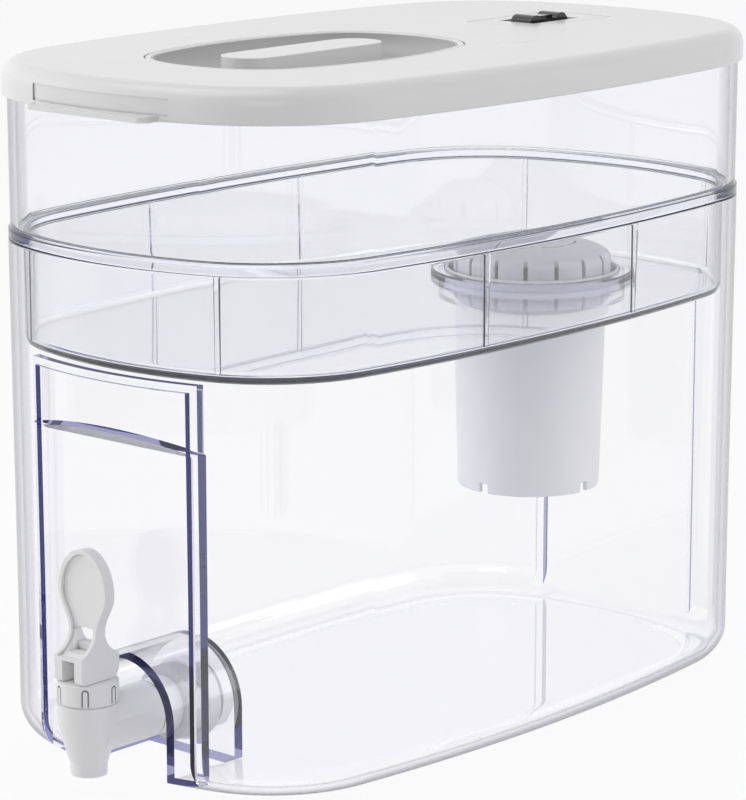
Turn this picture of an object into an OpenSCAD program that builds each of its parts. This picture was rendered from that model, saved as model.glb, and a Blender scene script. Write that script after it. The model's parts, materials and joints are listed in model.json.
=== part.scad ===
/* [Body] */
// Length of the lid from the tap end to the back
lid_length = 328; // [290:1:380]
// Width of the lid
lid_width = 193; // [180:1:215]
// Height of the lid's top above the table
lid_top = 270; // [262:0.5:300]
// Radius of the two long sides
side_radius = 800; // [600:10:1200]
// Radius of the two ends
end_radius = 160; // [145:1:190]
// Radius of the four corners
corner_radius = 62; // [50:1:68]

/* [Clear tanks] */
// Wall thickness of both clear tanks
wall = 3; // [2:0.1:4]
// Height of the lower tank's rim
rim_height = 201.3; // [192:0.1:208]
// How far the lower tank's rim sits inside the lid's outline
tank_inset = 1.4; // [0.8:0.1:2]
// Radius round the lower tank's base
base_fillet = 14; // [8:0.5:18]
// Height of the foot ring under the floor
foot_height = 1.5; // [0.8:0.1:3]
// Thickness of the lower tank's floor
floor_thick = 3; // [2:0.1:4]
// How far the reservoir hangs below the rim
nest_depth = 41.1; // [36:0.1:46]
// How far the hanging wall sits inside the lid's outline
nest_inset = 7.2; // [6.8:0.1:8]
// Thickness of the step that rests on the rim
step_thick = 4; // [3:0.1:5]
// Play left between a centring rib and the lower tank
rib_play = 0.9; // [0.4:0.1:1.2]

/* [Recesses] */
// Width of the recess behind the tap
recess_width = 79; // [70:1:84]
// How far the upper panel is set in from the end wall
panel_inset = 3; // [2:0.1:4]
// Distance from the lid's end to the flat lower panel
panel_back = 12; // [10:0.5:14]
// Height where the upper panel stops, at its middle
hood_height = 137; // [120:0.5:145]
// Inner radius of the tap arch
arch_radius = 22.5; // [20:0.5:26]
// Depth of the tap arch, from the lid's end
arch_depth = 48; // [46:0.5:54]
// Distance from the lid's end to the flat rear panel
rear_back = 10.1; // [8:0.1:13]

/* [Filter] */
// Distance of the filter's axis behind the middle
filter_y = 91.5; // [84:0.5:95]
// Outer diameter of the cartridge under its flange
filter_d = 64.3; // [60:0.1:65]
// Diameter of the cartridge's foot
filter_foot_d = 60; // [54:0.5:61]
// Length of the cartridge below its seat
filter_length = 82.2; // [60:0.1:100]
// Thickness of the cartridge's wall
filter_wall = 2; // [1.4:0.1:2.6]
// Diameter of the hole in the socket
socket_hole_d = 66; // [65.6:0.1:67]
// Slots round the cap
cap_slots = 16; // [8:2:20]
// Width of one cap slot
slot_width = 1.9; // [1:0.1:2.6]

/* [Tap] */
// Distance of the tap's axis in front of the lid's end
tap_forward = 7; // [5:0.5:12]
// Height of the shank above the table
shank_height = 25; // [23:0.5:30]
// Diameter of the tap body and its collar
tap_d = 23.7; // [22:0.1:26]
// Diameter of the nozzle
nozzle_d = 14.4; // [13.4:0.1:16]
// Diameter of the shank's thread
shank_d = 16.4; // [15:0.1:17.6]
// Width of the nut across its flats
nut_width = 24.5; // [22:0.1:27]
// Grooves round the collar
collar_grooves = 12; // [6:1:18]
// Width of the lever's paddle
paddle_width = 25; // [20:0.5:28]
// Length of the lever's paddle
paddle_length = 35; // [30:0.5:42]
// Diameter of the valve stem
stem_d = 6; // [5:0.1:6.1]

/* [Lid] */
// Height of the lid's skirt
skirt_height = 13.5; // [12:0.1:18]
// Radius of the lid's upper edge
lid_edge = 7; // [5:0.5:7]
// Thickness of the lid's top
lid_thick = 2.7; // [2:0.1:3]
// Half width of the fill cover
cover_half_width = 45.5; // [42:0.5:50]
// Half length of the fill cover
cover_half_length = 68.5; // [62:0.5:76]
// Distance of the fill cover's middle in front of the centre
cover_forward = 47; // [40:0.5:55]
// Length of the grip bar
grip_length = 75; // [60:1:90]
// Width of the grip bar
grip_width = 22; // [16:1:26]
// Distance of the indicator behind the middle
indicator_y = 97.3; // [90:0.5:105]

/* [Hidden] */
$fn = 96;

clear = [0.86, 0.87, 0.96, 0.4];
white = [0.95, 0.95, 0.95];
grey = [0.8, 0.8, 0.82];
dark = [0.45, 0.45, 0.47];
black = [0.08, 0.08, 0.08];
steel = [0.7, 0.71, 0.72];

// small value that makes shapes overlap
e = 0.5;
// the corners stand proud of the sides by this, so that their arcs cross cleanly
lap = 0.02;
// angle at which the base rounding meets the base
flat_angle = 16;
// the same on the corners of an oval, a little more so that their seams with the sides stay clean
corner_flat_angle = 16.5;
// gap between two pieces that slide past each other
slip = 0.3;
// gap in a turning fit
turn = 0.05;
// air between two flat faces that rest on each other
rest = 0.02;
// how far profiles reach in from the outline
inward = 120;

// An oval is [side centre, side radius, end centre, end radius, corner x, corner y, corner radius,
// side angle, end angle, depth of the swept band].
function oval_of(w, l, rs, re, rc) =
    let(
        cs = w - rs,
        ce = l - re,
        ds = rs - rc,
        de = re - rc,
        span = norm([cs, ce]),
        along = (span * span + ds * ds - de * de) / (2 * span),
        across = sqrt(ds * ds - along * along),
        x = cs - (cs * along + ce * across) / span,
        y = (ce * along - cs * across) / span
    )
    [cs, rs, ce, re, x, y, rc, atan2(y, x - cs), atan2(x, y - ce), max(w - x, l - y, rc) + 10];

half_l = lid_length / 2;
half_w = lid_width / 2;
main = oval_of(half_w, half_l, side_radius, end_radius, corner_radius);
end_c = main[2];

// heights
floor_z = foot_height + floor_thick;
nest_z = rim_height - nest_depth;
nest_floor_z = nest_z + 2.8;
recess_top = nest_z - 0.4 - 2.8;
wall_top = lid_top - 5.5;
step_top = rim_height + step_thick;
skirt_z = lid_top - skirt_height;
seat_z = nest_z - 5.2;

// the lower tank
half_recess = recess_width / 2;
panel_y = -(half_l - panel_back);
arch_y = -(half_l - arch_depth);
rear_y = half_l - rear_back;
hood_r = end_radius - tank_inset - panel_inset - 0.4;
hood_y = -(half_l - tank_inset - panel_inset - 0.4);
hood_slope = 0.75;
arch_wall = 2.5;

// the tap
tap_y = -(half_l + tap_forward);
tap_r = tap_d / 2;
neck_r = tap_r - 1.5;
chamber_r = tap_r - 3.55;
nozzle_z = shank_height - 18.2;
bead_z = nozzle_z + 5.2;
valve_z = shank_height - 9;
collar_z = shank_height + 10.2;
collar_top = collar_z + 8.7;
foot_z = collar_top + slip;
pin_z = foot_z + 5;
pin_r = 1.25;
stem_r = stem_d / 2;
disc_z = shank_height + 5;
barrel_r = 11;
shank_r = shank_d / 2;
gasket_y = arch_y - 14;
washer_y = arch_y - 6;
wall_y = arch_y + wall;
nut_y = wall_y + 1.5;
nut_end = nut_y + 8.5;
shank_end = nut_end + 2;
spacer_y = gasket_y - 10;

// the filter and its socket
filter_r = filter_d / 2;
socket_r = filter_r + 4.85;
flange_r = socket_r - 0.5;
flange_z = seat_z + 1.5;
cap_z = flange_z + 2.5;
cap_r = filter_r + 0.85;
cap_shoulder = cap_z + 13.5;
cap_top = cap_z + 19.5;
filter_z = seat_z - filter_length;
media_z = filter_z + 7.5;
media_top = flange_z - 6;

// the lid
cover = oval_of(cover_half_width, cover_half_length, 150, 60, 30);
cover_y = -cover_forward;
ledge_z = lid_top - 6;
seal_top = ledge_z + 1.2;
dish_z = lid_top - 11.5;
rocker_z = lid_top - 1.6;

// half of what the tap stands out beyond the tank
frame_y = -(half_l + tap_y - tap_r) / 2;

// Moves a piece so that the middle of the whole object, tap included, stands at the origin.
module placed() {
    translate([0, frame_y, 0]) children();
}

// A solid profile whose outline stands off from x = 0, rounded at its lower edge by r.
module profile(off, z0, z1, r = 0) {
    slide = r * (1 - cos($corner ? corner_flat_angle : flat_angle));
    rise = $corner ? lap : 0;
    translate([off, 0])
        difference() {
            translate([-inward, z0 - 2 + rise]) square([inward, z1 - z0 + 4]);
            if (r > 0)
                translate([-r, z0 - 3])
                    difference() {
                        square([r + 3, r + 3 - slide]);
                        translate([0, r + 3 - slide]) circle(r = r);
                    }
        }
}

// What lies outside a profile: low is how far the profile's steps reach in, more is how far this reaches past.
module outside(z0, z1, low, more) {
    difference() {
        translate([-low, z0 - more]) square([low + 50 + more, z1 - z0 + 2 * more]);
        children();
    }
}

module sector(x, y, r, from, to) {
    translate([x, y, 0])
        rotate([0, 0, from])
            rotate_extrude(angle = to - from)
                translate([r, 0]) children();
}

// A solid between z0 and z1 with the profile carried round the whole oval.
module oval(o, low, z0, z1) {
    w = o[0] + o[1];
    l = o[2] + o[3];
    difference() {
        difference() {
            translate([-w - 6, -l - 6, z0]) cube([2 * w + 12, 2 * l + 12, z1 - z0]);
            sector(o[4], o[5], o[6] + lap, o[7] - 0.3, 90.3 - o[8])
                outside(z0, z1, low, 1, $corner = true) children();
            sector(-o[4], o[5], o[6] + lap, 89.7 + o[8], 180.3 - o[7])
                outside(z0, z1, low, 1, $corner = true) children();
            sector(-o[4], -o[5], o[6] + lap, 179.7 + o[7], 270.3 - o[8])
                outside(z0, z1, low, 1, $corner = true) children();
            sector(o[4], -o[5], o[6] + lap, 269.7 + o[8], 360.3 - o[7])
                outside(z0, z1, low, 1, $corner = true) children();
        }
        sector(o[0], 0, o[1], -o[7] - 3, o[7] + 3)
            outside(z0, z1, low, 0.7, $corner = false) children();
        sector(-o[0], 0, o[1], 177 - o[7], 183 + o[7])
            outside(z0, z1, low, 0.7, $corner = false) children();
        sector(0, o[2], o[3], 87 - o[8], 93 + o[8])
            outside(z0, z1, low, 0.8, $corner = false) children();
        sector(0, -o[2], o[3], 267 - o[8], 273 + o[8])
            outside(z0, z1, low, 0.8, $corner = false) children();
    }
}

// The same with a plain profile.
module slab(o, off, z0, z1, r = 0) {
    oval(o, r - off + 1, z0, z1) profile(off, z0, z1, r);
}

module along_y(y0, y1, r) {
    translate([0, y0, 0]) rotate([-90, 0, 0]) cylinder(h = y1 - y0, r = r);
}

module along_x(x0, x1, r) {
    translate([x0, 0, 0]) rotate([0, 90, 0]) cylinder(h = x1 - x0, r = r);
}

// Everything outside the upper panel and below the hood, grown by g.
module front_space(g) {
    difference() {
        translate([-half_recess - g, -half_l - 20, -1])
            cube([recess_width + 2 * g, 60, recess_top + 1 + g * 0.93]);
        translate([0, -end_c, -2]) cylinder(h = lid_top, r = hood_r - g);
    }
    deep = panel_y + g - hood_y;
    rotate([90, 0, 90])
        translate([0, 0, -half_recess - g])
            linear_extrude(recess_width + 2 * g)
                polygon([
                    [-half_l - 20, -1],
                    [panel_y + g, -1],
                    [panel_y + g, hood_height + g * 1.25 - hood_slope * deep],
                    [hood_y - 4, hood_height + g * 1.25 + hood_slope * 4],
                    [-half_l - 20, hood_height + g * 1.25 + hood_slope * 4]
                ]);
}

module arch_space(g, depth) {
    translate([0, 0, shank_height]) along_y(-half_l - 20, depth, arch_radius + g);
    translate([-arch_radius - g, -half_l - 20, -1])
        cube([2 * (arch_radius + g), half_l + 20 + depth, shank_height + 1]);
}

module foot_ring() {
    difference() {
        slab(main, -16.4, 0, foot_height + e);
        slab(main, -22.4, -1, foot_height + 2);
        translate([-half_w, -60, -2]) cube([half_w, 44, 6]);
        translate([0, -half_l * 0.72, -2]) cube([half_w, half_l * 0.36, 6]);
        translate([-42, -half_l - 1, -2]) cube([84, 60, 6]);
        translate([-30, half_l - 40, -2]) cube([60, 40, 6]);
    }
}

module lower_tank() {
    color(clear) placed() {
        difference() {
            slab(main, -tank_inset, foot_height, rim_height, base_fillet);
            difference() {
                slab(main, -tank_inset - wall, floor_z, rim_height + 1, base_fillet - wall);
                front_space(wall);
                arch_space(arch_wall, wall_y);
                translate([-half_recess - wall, rear_y - wall, -1])
                    cube([recess_width + 2 * wall, 60, recess_top + 1 + 2.8]);
            }
            front_space(0);
            arch_space(0, arch_y);
            translate([-half_recess, rear_y, -1]) cube([recess_width, 60, recess_top + 1]);
            translate([0, 0, shank_height]) along_y(arch_y - 1, wall_y + 1, shank_r + turn);
        }
        foot_ring();
    }
}

module rib(x, y, r, a) {
    gap = nest_inset - tank_inset - wall - rib_play;
    translate([x, y, 0])
        rotate([0, 0, a])
            translate([r, 0, 0])
                rotate([90, 0, 0])
                    translate([0, 0, -1])
                        linear_extrude(2)
                            polygon([
                                [-e, nest_z + 4],
                                [gap - 1, nest_z + 4],
                                [gap, rim_height - slip],
                                [-e, rim_height - slip]
                            ]);
}

module ribs() {
    for (turned = [0, 180])
        rotate([0, 0, turned]) {
            for (a = [-3.3, 3.3])
                rib(main[0], 0, main[1] - nest_inset, a);
            rib(main[4], main[5], main[6] - nest_inset, 67.8);
            rib(-main[4], main[5], main[6] - nest_inset, 112.2);
        }
}

module socket() {
    translate([0, filter_y, 0])
        rotate_extrude()
            polygon([
                [socket_hole_d / 2 - e, seat_z - 3.5],
                [socket_r - 0.75, seat_z - 3.5],
                [socket_r - 0.75, seat_z - 1.5],
                [socket_r + 2.2, seat_z - 1.5],
                [socket_r + 2.2, nest_z + e],
                [socket_r + 3, nest_z + e],
                [socket_r + 3, nest_floor_z + 2.2],
                [socket_r + 2.2, nest_floor_z + 3],
                [socket_hole_d / 2 - e, nest_floor_z + 3]
            ]);
}

module reservoir() {
    color(clear) placed()
        difference() {
            union() {
                oval(main, nest_inset + 5, nest_z, wall_top) {
                    profile(-nest_inset, nest_z, rim_height, 4);
                    profile(-tank_inset, rim_height + rest + 2, step_top - 2);
                    profile(-2, step_top - 1, wall_top);
                }
                ribs();
                socket();
            }
            difference() {
                oval(main, nest_inset + wall + 3, nest_floor_z, wall_top + 1) {
                    profile(-nest_inset - wall, nest_floor_z, step_top + 1, 2);
                    profile(-2 - wall, step_top + 2, wall_top + 1);
                }
                translate([0, filter_y, 0])
                    cylinder(h = nest_floor_z + 3, r = socket_r + 3);
            }
            translate([0, filter_y, seat_z]) cylinder(h = 40, r = socket_r);
            translate([0, filter_y, seat_z - 10]) cylinder(h = 40, d = socket_hole_d);
            translate([socket_hole_d / 2 - 4, filter_y - 2, seat_z - 4]) cube([10, 4, 2]);
        }
}

module tab() {
    difference() {
        translate([0, 0, skirt_z])
            linear_extrude(2.2) {
                translate([-31, -half_l - 1]) square([62, 8]);
                translate([-27, -half_l - 5]) square([54, 8]);
                for (x = [-27, 27])
                    translate([x, -half_l - 1]) circle(r = 4);
            }
        translate([0, -end_c, skirt_z - 1]) cylinder(h = 5, r = end_radius - 1);
    }
}

module lid() {
    color(white) placed()
        difference() {
            union() {
                difference() {
                    mirror([0, 0, 1]) slab(main, 0, -lid_top, -skirt_z, lid_edge);
                    oval(main, 8, skirt_z - 1, lid_top - lid_thick) {
                        profile(-1.7, skirt_z - 1, wall_top + rest - 2);
                        profile(-7, wall_top - 1, lid_top - lid_thick);
                    }
                }
                difference() {
                    slab(main, -2 - wall - slip, wall_top - 4.5, wall_top + e);
                    slab(main, -2 - wall - slip - 1.6, wall_top - 6, wall_top + 2);
                }
                translate([0, cover_y, 0]) slab(cover, 2.4, ledge_z - 2, lid_top - lid_thick + e);
                tab();
            }
            translate([0, cover_y, 0]) slab(cover, slip, ledge_z, lid_top + 1);
            translate([0, cover_y, 0]) slab(cover, -2.6, ledge_z - 5, ledge_z + 1);
            translate([-16.15, indicator_y - 27.65, lid_top - 1.5]) cube([32.3, 55.3, 5]);
            translate([-10.8, indicator_y - 16.8, lid_top - 10]) cube([21.6, 33.6, 12]);
            difference() {
                translate([-35, -half_l - 2, skirt_z + 2.2]) cube([70, 10, skirt_height - 7.2]);
                translate([0, -end_c, skirt_z]) cylinder(h = skirt_height, r = end_radius - 0.7);
            }
        }
}

module stadium(w, l) {
    square([w, l - w], center = true);
    for (s = [-1, 1])
        translate([0, s * (l - w) / 2]) circle(d = w);
}

module fill_cover() {
    color(white) placed()
        translate([0, cover_y, 0]) {
            difference() {
                union() {
                    slab(cover, 0, seal_top, lid_top);
                    slab(cover, -2.6 - slip, dish_z, seal_top + e);
                }
                slab(cover, -4.5, dish_z + 1.8, lid_top + 1);
            }
            translate([0, -2.5, dish_z + 1])
                linear_extrude(lid_top + 0.8 - dish_z - 1) stadium(grip_width, grip_length);
        }
}

module fill_cover_bowl() {
    color(dark) placed()
        translate([0, cover_y, 0])
            difference() {
                slab(cover, -4.6, dish_z + 1.8, lid_top - 0.5);
                slab(cover, -5.6, dish_z + 3, lid_top + 1, 7);
                translate([0, -2.5, dish_z])
                    linear_extrude(20) stadium(grip_width + 0.2, grip_length + 0.2);
            }
}

module cover_seal() {
    color(dark) placed()
        translate([0, cover_y, 0])
            difference() {
                slab(cover, -0.2, ledge_z, seal_top);
                slab(cover, -2.4, ledge_z - 1, seal_top + 1);
            }
}

module indicator_plate() {
    color(white) placed()
        translate([0, indicator_y, 0])
            difference() {
                union() {
                    translate([-16, -27.5, lid_top - 1.5]) cube([32, 55, 1.5]);
                    translate([-10.5, -16.5, lid_top - 9]) cube([21, 33, 9]);
                }
                translate([-9, -15, lid_top - 7.5]) cube([18, 30, 10]);
                translate([0, 0, rocker_z]) along_x(-9.6, 9.6, 1.2 + turn);
            }
}

module indicator_rocker() {
    color(black) placed()
        translate([0, indicator_y, rocker_z]) {
            along_x(-9.4, 9.4, 1.2);
            for (s = [-1, 1])
                translate([0, s * 8.4, -0.2]) along_x(-4, 4, 4.4);
            translate([-4, -8.4, -2.6]) cube([8, 16.8, 4.6]);
            translate([-1.2, -9, 1]) cube([2.4, 18, 2.2]);
        }
}

module filter_housing() {
    color(grey) placed()
        translate([0, filter_y, 0])
            difference() {
                rotate_extrude()
                    polygon([
                        [0, filter_z + 4],
                        [filter_foot_d / 2 - filter_wall, filter_z + 4],
                        [filter_foot_d / 2 - filter_wall, filter_z],
                        [filter_foot_d / 2, filter_z],
                        [filter_r, seat_z - 2],
                        [filter_r, flange_z],
                        [flange_r, flange_z],
                        [flange_r, cap_z],
                        [filter_r - filter_wall, cap_z],
                        [filter_r - filter_wall, media_top + 0.8],
                        [filter_r - filter_wall - 0.6, media_top],
                        [filter_foot_d / 2 - filter_wall, media_z - 0.6],
                        [0, media_z - 0.6]
                    ]);
                for (a = [0, 90])
                    rotate([0, 0, a])
                        translate([-2, -filter_r - 2, filter_z - 1])
                            cube([4, 2 * filter_r + 4, 5]);
                for (ring = [1, 2, 3])
                    for (i = [1 : ring * 6])
                        rotate([0, 0, i * 60 / ring])
                            translate([ring * 7.5, 0, filter_z]) cylinder(h = 10, r = 1.5);
            }
}

module filter_cap() {
    color(grey) placed()
        translate([0, filter_y, 0])
            difference() {
                rotate_extrude()
                    difference() {
                        union() {
                            translate([0, cap_z]) square([cap_r, cap_shoulder - cap_z]);
                            translate([0, cap_z]) square([cap_r - 2.5, cap_shoulder - cap_z + 2.5]);
                            translate([cap_r - 2.5, cap_shoulder]) circle(r = 2.5);
                            intersection() {
                                translate([0, cap_z]) square([cap_r - 4, 30]);
                                translate([0, cap_top - 130]) circle(r = 130);
                            }
                        }
                        translate([-1, cap_z - 1])
                            square([cap_r - 0.8, cap_shoulder - cap_z + 1.2]);
                    }
                for (i = [0 : cap_slots - 1])
                    rotate([0, 0, (i + 0.5) * 360 / cap_slots])
                        translate([cap_r - 6, -slot_width / 2, cap_z + 2.5])
                            cube([12, slot_width, cap_shoulder - cap_z - 2]);
                for (i = [0 : 7])
                    rotate([0, 0, i * 45 + 5])
                        rotate_extrude(angle = 35)
                            translate([17.6, cap_z + 10]) square([0.8, 20]);
            }
}

module filter_seal() {
    color(dark) placed()
        translate([0, filter_y, seat_z])
            difference() {
                cylinder(h = 1.5, r = flange_r);
                translate([0, 0, -1]) cylinder(h = 4, r = filter_r + 0.4);
            }
}

module filter_media() {
    color(black) placed()
        translate([0, filter_y, media_z])
            cylinder(
                h = media_top - 0.6 - media_z,
                r1 = filter_foot_d / 2 - filter_wall - 0.1,
                r2 = filter_r - filter_wall - 0.9
            );
}

module mesh_disc(r) {
    difference() {
        cylinder(h = 0.6, r = r);
        for (x = [-3 : 3])
            translate([x * 7.4, 0, 0.3])
                cube([5.2, 2 * sqrt(r * r - pow(abs(x) * 7.4 + 2.6, 2)) - 6, 0.8], center = true);
    }
}

module upper_mesh() {
    color(steel) placed()
        translate([0, filter_y, media_top - 0.6]) mesh_disc(filter_r - filter_wall - 0.8);
}

module lower_mesh() {
    color(steel) placed()
        translate([0, filter_y, media_z - 0.6]) mesh_disc(filter_foot_d / 2 - filter_wall - 0.1);
}

module tap_body() {
    color(grey) placed()
        translate([0, tap_y, 0])
            difference() {
                union() {
                    rotate_extrude()
                        difference() {
                            polygon([
                                [0, nozzle_z],
                                [nozzle_d / 2 - 0.2, nozzle_z],
                                [nozzle_d / 2, bead_z],
                                [nozzle_d / 2 + 0.3, bead_z + 0.2],
                                [nozzle_d / 2 + 1.2, bead_z + 3],
                                [nozzle_d / 2 + 2.2, bead_z + 6.5],
                                [tap_r - 1.3, bead_z + 10.5],
                                [tap_r - 0.5, bead_z + 14.5],
                                [tap_r - 0.1, bead_z + 18.5],
                                [tap_r, collar_z],
                                [neck_r, collar_z],
                                [neck_r, collar_top - 3.7],
                                [0, collar_top - 3.7]
                            ]);
                        }
                    translate([0, 0, shank_height]) {
                        difference() {
                            along_y(0, spacer_y - tap_y, barrel_r);
                            translate([0, 0, collar_z - shank_height])
                                cylinder(h = 5, r = tap_r + slip);
                        }
                        along_y(0, shank_end - tap_y, shank_r);
                    }
                }
                translate([0, 0, nozzle_z - 1]) cylinder(h = 30, r = 4.6);
                translate([0, 0, valve_z]) cylinder(h = 60, r = chamber_r);
                translate([0, 0, shank_height]) along_y(3, shank_end - tap_y + 1, shank_r - 2.2);
            }
}

module tap_collar() {
    color(grey) placed()
        translate([0, tap_y, 0])
            difference() {
                translate([0, 0, collar_z]) cylinder(h = collar_top - collar_z, r = tap_r);
                translate([0, 0, collar_z - 1])
                    cylinder(h = collar_top - 3.7 - collar_z + 1, r = neck_r + turn);
                translate([0, 0, collar_z]) cylinder(h = collar_top - 2.5 - collar_z, r = chamber_r);
                translate([0, 0, collar_z]) cylinder(h = 20, r = stem_r + turn);
                for (i = [0 : collar_grooves - 1])
                    rotate([0, 0, i * 360 / collar_grooves])
                        translate([tap_r - 0.4, 0, 0]) {
                            translate([0, -1.3, collar_z - 1]) cube([2, 2.6, 6.9]);
                            translate([0, 0, collar_z + 5.9]) along_x(0, 2, 1.3);
                        }
            }
}

module paddle_outline() {
    w = paddle_width / 2;
    l = paddle_length / 2;
    tip = w * 0.86;
    side = (w * w + (l - tip) * (l - tip) - tip * tip) / (2 * (w - tip));
    reach = side * (l - tip) / (side - tip);
    intersection() {
        translate([w - side, 0]) circle(r = side, $fn = 200);
        translate([side - w, 0]) circle(r = side, $fn = 200);
        square([2 * w + 2, 2 * reach], center = true);
    }
    for (s = [-1, 1])
        translate([0, s * (l - tip)]) circle(r = tip + lap);
}

module tap_lever() {
    top = foot_z + 50;
    color(grey) placed()
        translate([0, tap_y, 0])
            difference() {
                union() {
                    translate([0, 2.6, top - paddle_length / 2])
                        rotate([90, 0, 0])
                            linear_extrude(4.9) paddle_outline();
                    translate([0, 0, foot_z])
                        rotate([90, 0, 90])
                            translate([0, 0, -7])
                                linear_extrude(14)
                                    difference() {
                                        union() {
                                            translate([-8.5, 0]) square([14.2, 2]);
                                            translate([-10, 1.5]) square([19.7, 8.4]);
                                            translate([-8.5, 1.5]) circle(r = 1.5);
                                            translate([5.7, 4]) circle(r = 4);
                                            translate([-8, 9]) square([16, 11]);
                                        }
                                        translate([-13.3, 21]) circle(r = 11.3);
                                        translate([12.6, 19.6]) circle(r = 10.3);
                                    }
                }
                for (s = [-1, 1])
                    translate([s * 18.2, -20, foot_z + 18]) rotate([-90, 0, 0]) cylinder(h = 40, r = 11.8);
                translate([-stem_r - 0.25, -12, foot_z - 1]) cube([stem_d + 0.5, 16, 9.5]);
                translate([0, -2.3 + 0.8, top - paddle_length / 2])
                    rotate([90, 0, 0])
                        linear_extrude(4)
                            scale((paddle_width - 2.8) / paddle_width) paddle_outline();
                translate([-3.2, -14, foot_z + 10.6]) cube([6.4, 13.5, 8.5]);
                translate([0, 0, pin_z]) along_x(-5.6, 5.6, pin_r + turn);
            }
}

module lever_pin() {
    color(steel) placed()
        translate([0, tap_y, pin_z]) along_x(-5.5, 5.5, pin_r);
}

module valve_stem() {
    color(grey) placed()
        translate([0, tap_y, 0])
            difference() {
                union() {
                    translate([0, 0, valve_z + 1]) cylinder(h = pin_z - valve_z - 1, r = stem_r);
                    translate([0, 0, pin_z]) along_x(-stem_r, stem_r, stem_r - 0.2);
                    translate([0, 0, disc_z]) cylinder(h = 1.2, r = 6.6);
                }
                translate([0, 0, pin_z]) along_x(-5, 5, pin_r);
            }
}

module valve_plug() {
    color(dark) placed()
        translate([0, tap_y, 0])
            difference() {
                union() {
                    translate([0, 0, valve_z]) cylinder(h = 3.5, r = 6);
                    translate([0, 0, valve_z - 3]) cylinder(h = 3.5, r1 = 2.2, r2 = 4.4);
                    translate([0, 0, valve_z + 3.2]) cylinder(h = 3, r1 = 5.4, r2 = 4.2);
                }
                translate([0, 0, valve_z + 1]) cylinder(h = 10, r = stem_r);
            }
}

module tap_spring() {
    turns = 5;
    low = disc_z + 1.2;
    high = collar_top - 2.5;
    color(steel) placed()
        translate([0, tap_y, low])
            linear_extrude(high - low, twist = -360 * turns, slices = 16 * turns, $fn = 16)
                difference() {
                    intersection() {
                        circle(r = 5.6, $fn = 24);
                        polygon([[0, 0], [9, -9], [9, 9]]);
                    }
                    circle(r = 4.7, $fn = 24);
                }
}

module on_shank() {
    translate([0, 0, shank_height]) children();
}

module ring_on_shank(y0, y1, r, hole) {
    on_shank()
        difference() {
            along_y(y0, y1, r);
            along_y(y0 - 1, y1 + 1, hole);
        }
}

module shank_spacer() {
    color(grey) placed() ring_on_shank(spacer_y, gasket_y, barrel_r, shank_r);
}

module outer_gasket() {
    color(grey) placed() ring_on_shank(gasket_y, washer_y, 14.5, shank_r);
}

module flange_washer() {
    color(grey) placed() ring_on_shank(washer_y, arch_y, 16, shank_r);
}

module inner_washer() {
    color(dark) placed() ring_on_shank(wall_y, nut_y, 14, shank_r);
}

module hex_nut() {
    color(grey) placed()
        on_shank()
            difference() {
                translate([0, nut_y, 0])
                    rotate([-90, 0, 0])
                        cylinder(h = nut_end - nut_y, d = nut_width / cos(30), $fn = 6);
                along_y(nut_y - 1, nut_end + 1, shank_r);
            }
}

module inlet_screen() {
    color(grey) placed()
        on_shank()
            difference() {
                union() {
                    along_y(shank_end - 3, shank_end, shank_r - 2.2);
                    along_y(shank_end, shank_end + 1.2, shank_r);
                }
                for (x = [-1, 0, 1])
                    translate([x * 3.2 - 0.7, shank_end - 4, -3.4 + abs(x)])
                        cube([1.4, 8, 6.8 - 2 * abs(x)]);
            }
}

lower_tank();
reservoir();
lid();
fill_cover();
fill_cover_bowl();
cover_seal();
indicator_plate();
indicator_rocker();
filter_housing();
filter_cap();
filter_seal();
filter_media();
upper_mesh();
lower_mesh();
tap_body();
tap_collar();
tap_lever();
lever_pin();
valve_stem();
valve_plug();
tap_spring();
shank_spacer();
outer_gasket();
flange_washer();
inner_washer();
hex_nut();
inlet_screen();
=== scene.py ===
import json
import math

import bmesh
import bpy
from mathutils import Matrix, Vector


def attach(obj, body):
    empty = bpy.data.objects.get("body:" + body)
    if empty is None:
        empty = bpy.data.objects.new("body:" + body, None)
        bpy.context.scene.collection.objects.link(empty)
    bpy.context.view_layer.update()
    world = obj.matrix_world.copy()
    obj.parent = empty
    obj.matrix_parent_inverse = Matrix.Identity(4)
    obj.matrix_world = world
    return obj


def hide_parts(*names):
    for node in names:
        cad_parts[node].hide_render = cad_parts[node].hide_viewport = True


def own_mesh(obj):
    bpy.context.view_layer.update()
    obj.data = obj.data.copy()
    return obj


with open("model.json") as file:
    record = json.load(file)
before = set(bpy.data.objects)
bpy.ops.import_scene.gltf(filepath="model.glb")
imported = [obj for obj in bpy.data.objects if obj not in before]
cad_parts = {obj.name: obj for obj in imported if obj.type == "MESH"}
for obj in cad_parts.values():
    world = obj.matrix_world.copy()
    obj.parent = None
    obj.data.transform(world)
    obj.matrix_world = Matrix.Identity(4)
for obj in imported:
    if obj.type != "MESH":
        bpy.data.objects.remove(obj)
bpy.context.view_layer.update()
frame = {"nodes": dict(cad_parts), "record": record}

bl_info = {
    "name": "Gravity water filter",
    "version": (1, 0, 0),
    "blender": (4, 5, 0),
    "location": "View3D > Sidebar > Water filter",
    "description": "Builds a clear gravity water filter with a lever tap around its solid frame",
    "category": "Add Mesh",
}

BODY_OF = {n: b for b, ns in frame["record"]["behaviour"]["bodies"].items() for n in ns}


# ---------------------------------------------------------------- sizes and colours


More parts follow.
